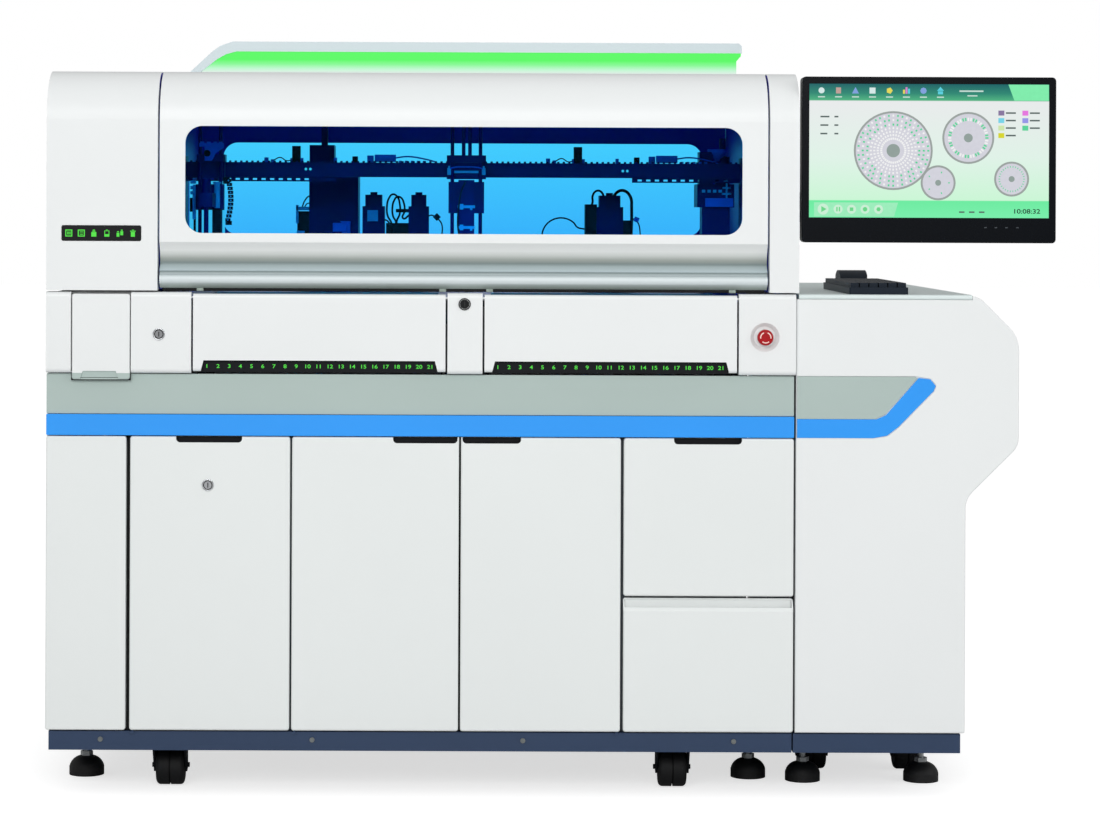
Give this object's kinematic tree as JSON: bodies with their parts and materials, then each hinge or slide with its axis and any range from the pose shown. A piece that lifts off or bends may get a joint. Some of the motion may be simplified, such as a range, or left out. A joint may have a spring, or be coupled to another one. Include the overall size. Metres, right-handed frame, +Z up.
{
  "type": "chemiluminescence immunoassay analyzer",
  "caption": "Floor-standing immunoassay analyzer with a windowed hood lid, hinged rack covers, cabinet doors, drawers and a side desk with monitor, keyboard and mouse.",
  "frame": {"origin": "on the floor under the middle of the machine", "axes": "+Z up, -Y towards the operator, +X towards the monitor and desk"},
  "size_m": [2.018, 1.026, 1.527],
  "materials": {
    "painted_frame": "satin powder coat",
    "plinth_paint": "satin powder coat",
    "panel_white": "smooth satin paint",
    "shell_white": "moulded, satin",
    "screw_zinc": "zinc",
    "rubber_black": "matt",
    "caster_black": "matt",
    "deck_steel": "brushed",
    "window_blue": "clear blue acrylic",
    "lens_green": "lit green acrylic",
    "display_dark": "smoked window over the icons",
    "band_grey": "satin paint",
    "stripe_blue": "satin paint",
    "rack_black": "matt",
    "aluminium": "anodised",
    "dark_plastic": "fine texture",
    "lock_chrome": "polished",
    "lock_black": "gloss",
    "button_red": "gloss",
    "monitor_black": "fine texture",
    "screen_lit": "lit screen",
    "carousel_white": "moulded",
    "bottle_natural": "translucent",
    "supply_metal": "sheet",
    "desk_white": "satin"
  },
  "bodies": {
    "cabinet": {"main_frame": "painted_frame", "plinth": "plinth_paint", "plinth_screws": "screw_zinc", "levelling_feet": "rubber_black", "rear_casters": "caster_black", "left_side_panel": "panel_white", "rear_panels": "panel_white", "deck_plate": "deck_steel", "left_hood_cover": "shell_white", "right_hood_cover": "shell_white", "hood_top_cover": "shell_white", "rear_window": "window_blue", "light_bar_housing": "shell_white", "light_bar_lens": "lens_green", "fascia_left": "shell_white", "fascia_centre": "shell_white", "fascia_right": "shell_white", "grey_bands": "band_grey", "blue_stripes": "stripe_blue", "side_module_shell": "shell_white", "desk_top": "desk_white", "status_display": "display_dark", "rack_bays": "rack_black", "gantry_beam": "aluminium", "reader_module": "dark_plastic", "drive_motors": "dark_plastic", "power_supply": "supply_metal", "wash_bottles": "bottle_natural", "monitor_bracket": "aluminium", "dispenser_module": "dark_plastic"},
    "lid": {"lid_shell": "shell_white", "lid_window": "window_blue"},
    "rack_cover_left": {"rack_cover_left": "shell_white"},
    "rack_cover_right": {"rack_cover_right": "shell_white"},
    "fill_drawer": {"fill_drawer": "shell_white"},
    "door_left": {"door_left": "panel_white"},
    "door_centre": {"door_centre": "panel_white"},
    "door_right": {"door_right": "panel_white"},
    "door_lock": {"door_lock": "lock_chrome"},
    "fascia_lock": {"fascia_lock": "lock_chrome"},
    "lid_lock": {"lid_lock": "lock_black"},
    "cuvette_drawer": {"cuvette_drawer": "panel_white"},
    "waste_drawer": {"waste_drawer": "panel_white"},
    "estop_stem": {"estop_stem": "aluminium"},
    "estop_head": {"estop_head": "button_red"},
    "monitor_arm": {"monitor_arm": "aluminium"},
    "monitor": {"monitor_case": "monitor_black", "monitor_screen": "screen_lit"},
    "keyboard": {"keyboard": "monitor_black"},
    "mouse": {"mouse": "monitor_black"},
    "pipettor_carriage": {"pipettor_carriage": "dark_plastic"},
    "pipettor_head": {"pipettor_head": "aluminium"},
    "gripper_carriage": {"gripper_carriage": "dark_plastic"},
    "gripper_head": {"gripper_head": "dark_plastic"},
    "reagent_carousel": {"reagent_carousel": "carousel_white"},
    "incubator_carousel": {"incubator_carousel": "dark_plastic"},
    "caster_fork_1": {"caster_fork_1": "caster_black"},
    "caster_wheel_1": {"caster_wheel_1": "rubber_black"},
    "caster_fork_2": {"caster_fork_2": "caster_black"},
    "caster_wheel_2": {"caster_wheel_2": "rubber_black"}
  },
  "joints": [
    {"name": "lid_hinge", "type": "hinge", "parent": "cabinet", "child": "lid", "pos_m": [-0.1755, -0.152, 1.438], "axis": [-1, 0, 0], "range_deg": [0, 70]},
    {"name": "rack_cover_left_hinge", "type": "hinge", "parent": "cabinet", "child": "rack_cover_left", "pos_m": [-0.463, -0.492, 0.996], "axis": [-1, 0, 0], "range_deg": [0, 85]},
    {"name": "rack_cover_right_hinge", "type": "hinge", "parent": "cabinet", "child": "rack_cover_right", "pos_m": [0.119, -0.492, 0.996], "axis": [-1, 0, 0], "range_deg": [0, 85]},
    {"name": "fill_drawer_slide", "type": "slide", "parent": "cabinet", "child": "fill_drawer", "axis": [0, -1, 0], "range_m": [0, 0.25]},
    {"name": "door_left_hinge", "type": "hinge", "parent": "cabinet", "child": "door_left", "pos_m": [-0.835, -0.479, 0.423], "axis": [0, 0, -1], "range_deg": [0, 95]},
    {"name": "door_centre_hinge", "type": "hinge", "parent": "cabinet", "child": "door_centre", "pos_m": [-0.511, -0.479, 0.423], "axis": [0, 0, -1], "range_deg": [0, 95]},
    {"name": "door_right_hinge", "type": "hinge", "parent": "cabinet", "child": "door_right", "pos_m": [0.135, -0.479, 0.423], "axis": [0, 0, 1], "range_deg": [0, 88]},
    {"name": "door_lock_turn", "type": "hinge", "parent": "door_left", "child": "door_lock", "pos_m": [-0.685, -0.487, 0.62], "axis": [0, -1, 0], "range_deg": [0, 90]},
    {"name": "fascia_lock_turn", "type": "hinge", "parent": "cabinet", "child": "fascia_lock", "pos_m": [-0.783, -0.499, 0.922], "axis": [0, -1, 0], "range_deg": [0, 90]},
    {"name": "lid_lock_turn", "type": "hinge", "parent": "cabinet", "child": "lid_lock", "pos_m": [-0.173, -0.499, 0.984], "axis": [0, -1, 0], "range_deg": [0, 90]},
    {"name": "cuvette_drawer_slide", "type": "slide", "parent": "cabinet", "child": "cuvette_drawer", "axis": [0, -1, 0], "range_m": [0, 0.4]},
    {"name": "waste_drawer_slide", "type": "slide", "parent": "cabinet", "child": "waste_drawer", "axis": [0, -1, 0], "range_m": [0, 0.4]},
    {"name": "estop_press", "type": "slide", "parent": "cabinet", "child": "estop_stem", "axis": [0, 1, 0], "range_m": [0, 0.005]},
    {"name": "estop_twist", "type": "hinge", "parent": "estop_stem", "child": "estop_head", "pos_m": [0.427, -0.507, 0.92], "axis": [0, 1, 0], "range_deg": [0, 30]},
    {"name": "monitor_swivel", "type": "hinge", "parent": "cabinet", "child": "monitor_arm", "pos_m": [0.523, -0.367, 1.19], "axis": [0, 0, 1], "range_deg": [0, 45]},
    {"name": "monitor_tilt", "type": "hinge", "parent": "monitor_arm", "child": "monitor", "pos_m": [0.755, -0.407, 1.286], "axis": [1, 0, 0], "range_deg": [-5, 15]},
    {"name": "keyboard_slide", "type": "slide", "parent": "cabinet", "child": "keyboard", "axis": [1, 0, 0], "range_m": [-0.08, 0.1]},
    {"name": "mouse_slide", "type": "slide", "parent": "cabinet", "child": "mouse", "axis": [0, 1, 0], "range_m": [-0.015, 0.25]},
    {"name": "pipettor_travel", "type": "slide", "parent": "cabinet", "child": "pipettor_carriage", "axis": [1, 0, 0], "range_m": [0, 0.36]},
    {"name": "pipettor_lift", "type": "slide", "parent": "pipettor_carriage", "child": "pipettor_head", "axis": [0, 0, 1], "range_m": [-0.055, 0]},
    {"name": "gripper_travel", "type": "slide", "parent": "cabinet", "child": "gripper_carriage", "axis": [1, 0, 0], "range_m": [-0.09, 0.4]},
    {"name": "gripper_lift", "type": "slide", "parent": "gripper_carriage", "child": "gripper_head", "axis": [0, 0, 1], "range_m": [-0.05, 0]},
    {"name": "reagent_carousel_turn", "type": "hinge", "parent": "cabinet", "child": "reagent_carousel", "pos_m": [-0.309, 0.123, 0.99], "axis": [0, 0, 1], "continuous": true},
    {"name": "incubator_carousel_turn", "type": "hinge", "parent": "cabinet", "child": "incubator_carousel", "pos_m": [0.051, 0.123, 0.99], "axis": [0, 0, 1], "continuous": true},
    {"name": "caster_swivel_1", "type": "hinge", "parent": "cabinet", "child": "caster_fork_1", "pos_m": [-0.767, -0.392, 0.118], "axis": [0, 0, 1], "continuous": true},
    {"name": "caster_roll_1", "type": "hinge", "parent": "caster_fork_1", "child": "caster_wheel_1", "pos_m": [-0.767, -0.372, 0.04], "axis": [1, 0, 0], "continuous": true},
    {"name": "caster_swivel_2", "type": "hinge", "parent": "cabinet", "child": "caster_fork_2", "pos_m": [0.253, -0.392, 0.118], "axis": [0, 0, 1], "continuous": true},
    {"name": "caster_roll_2", "type": "hinge", "parent": "caster_fork_2", "child": "caster_wheel_2", "pos_m": [0.253, -0.372, 0.04], "axis": [1, 0, 0], "continuous": true}
  ]
}
